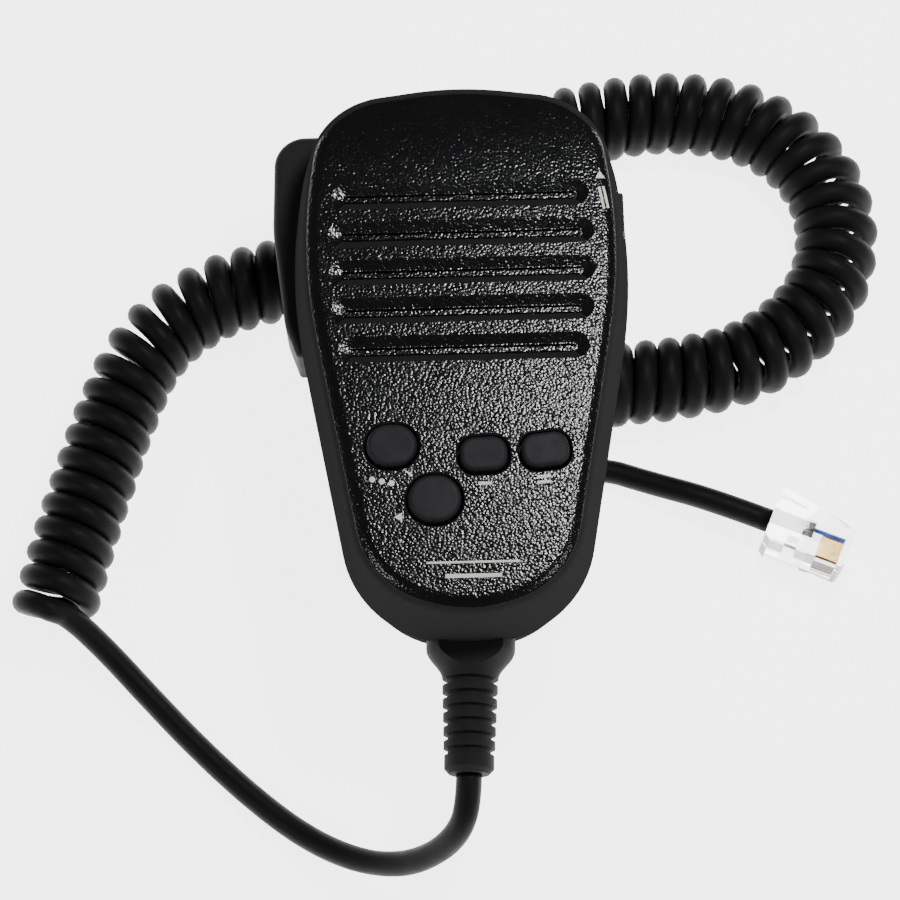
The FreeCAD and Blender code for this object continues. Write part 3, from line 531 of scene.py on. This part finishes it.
def triangle(x, y, size, turn=0.0):
    """The corners of a triangle that points along turn, in degrees."""
    return [
        (x + size * math.cos(math.radians(turn + k)), y + size * math.sin(math.radians(turn + k)))
        for k in (0, 120, 240)
    ]


def disc(x, y, radius, count=16):
    """The corners of a round dot."""
    return [
        (x + radius * math.cos(math.tau * k / count), y + radius * math.sin(math.tau * k / count))
        for k in range(count)
    ]


flat_mark(
    "printed_marks",
    [
        disc(-12.9, -20.6, 0.42),
        disc(-11.6, -20.9, 0.42),
        disc(-10.3, -21.2, 0.42),
        bar(-8.0, -19.7, 1.5, 0.35, -45),
        bar(-7.3, -20.3, 1.5, 0.35, -45),
        triangle(-9.3, -26.0, 0.75, 180),
        bar(2.4, -21.5, 1.9, 0.42),
        bar(10.4, -20.7, 1.9, 0.42, 4),
        bar(10.4, -21.5, 1.9, 0.42, 4),
        bar(0.5, -32.5, 12.6, 0.3),
        bar(0.5, -34.4, 7.6, 0.55),
    ],
    FACE_LIFT,
)
flat_mark(
    "lock_marks",
    [
        bar(19.88, 20.1, 0.36, 3.4, 10),
        bar(20.48, 20.2, 0.36, 3.4, 10),
        triangle(19.8, 23.5, 0.8, 92),
    ],
    EDGE_LIFT,
)

# ---- floor, lights ---------------------------------------------------------------------
FLOOR_HALF = 3.0
FLOOR_TOP = FLOOR_Z * MM - 0.0001
FLOOR_GLOW = 4.0
WORLD_GLOW = 0.08
floor_mesh = bpy.data.meshes.new("floor")
floor_corners = [(-1, -1), (1, -1), (1, 1), (-1, 1)]
floor_mesh.from_pydata(
    [(x * FLOOR_HALF, y * FLOOR_HALF, FLOOR_TOP) for x, y in floor_corners], [], [(0, 1, 2, 3)]
)
floor = bpy.data.objects.new("floor", floor_mesh)
bpy.context.collection.objects.link(floor)
paper = Nodes("paper")
paper_color = paper.mix_color(paper.noise(12.0, 2.0), rgb(0.86, 0.86, 0.86), rgb(0.9, 0.9, 0.9))
paper.shader.inputs["Emission Color"].default_value = rgb(1.0, 1.0, 1.0)
paper.shader.inputs["Emission Strength"].default_value = FLOOR_GLOW
floor_mesh.materials.append(paper.finish(Base_Color=paper_color, Roughness=0.7))


def soft_light(name, place, target, size, power):
    """A rectangular lamp at a place, turned to a target, with its size in metres and power in watts."""
    data = bpy.data.lights.new(name, "AREA")
    data.shape = "RECTANGLE"
    data.size, data.size_y = size
    data.energy = power
    light = bpy.data.objects.new(name, data)
    light.location = place
    light.rotation_mode = "QUATERNION"
    light.rotation_quaternion = (Vector(place) - Vector(target)).to_track_quat("Z", "Y")
    bpy.context.collection.objects.link(light)


MIDDLE = (0.0, 0.0, 0.0)
soft_light("key", place=(0.062, 0.052, 0.225), target=(0.015, -0.01, 0.0), size=(0.044, 0.044), power=0.4)
soft_light("left", place=(-0.65, -0.3, 0.62), target=MIDDLE, size=(0.16, 0.2), power=1.6)
soft_light("right", place=(0.65, -0.32, 0.62), target=MIDDLE, size=(0.16, 0.2), power=1.6)

world = bpy.data.worlds.new("studio")
world.use_nodes = True
background = world.node_tree.nodes["Background"]
background.inputs["Color"].default_value = rgb(0.95, 0.97, 1.0)
background.inputs["Strength"].default_value = WORLD_GLOW
bpy.context.scene.world = world
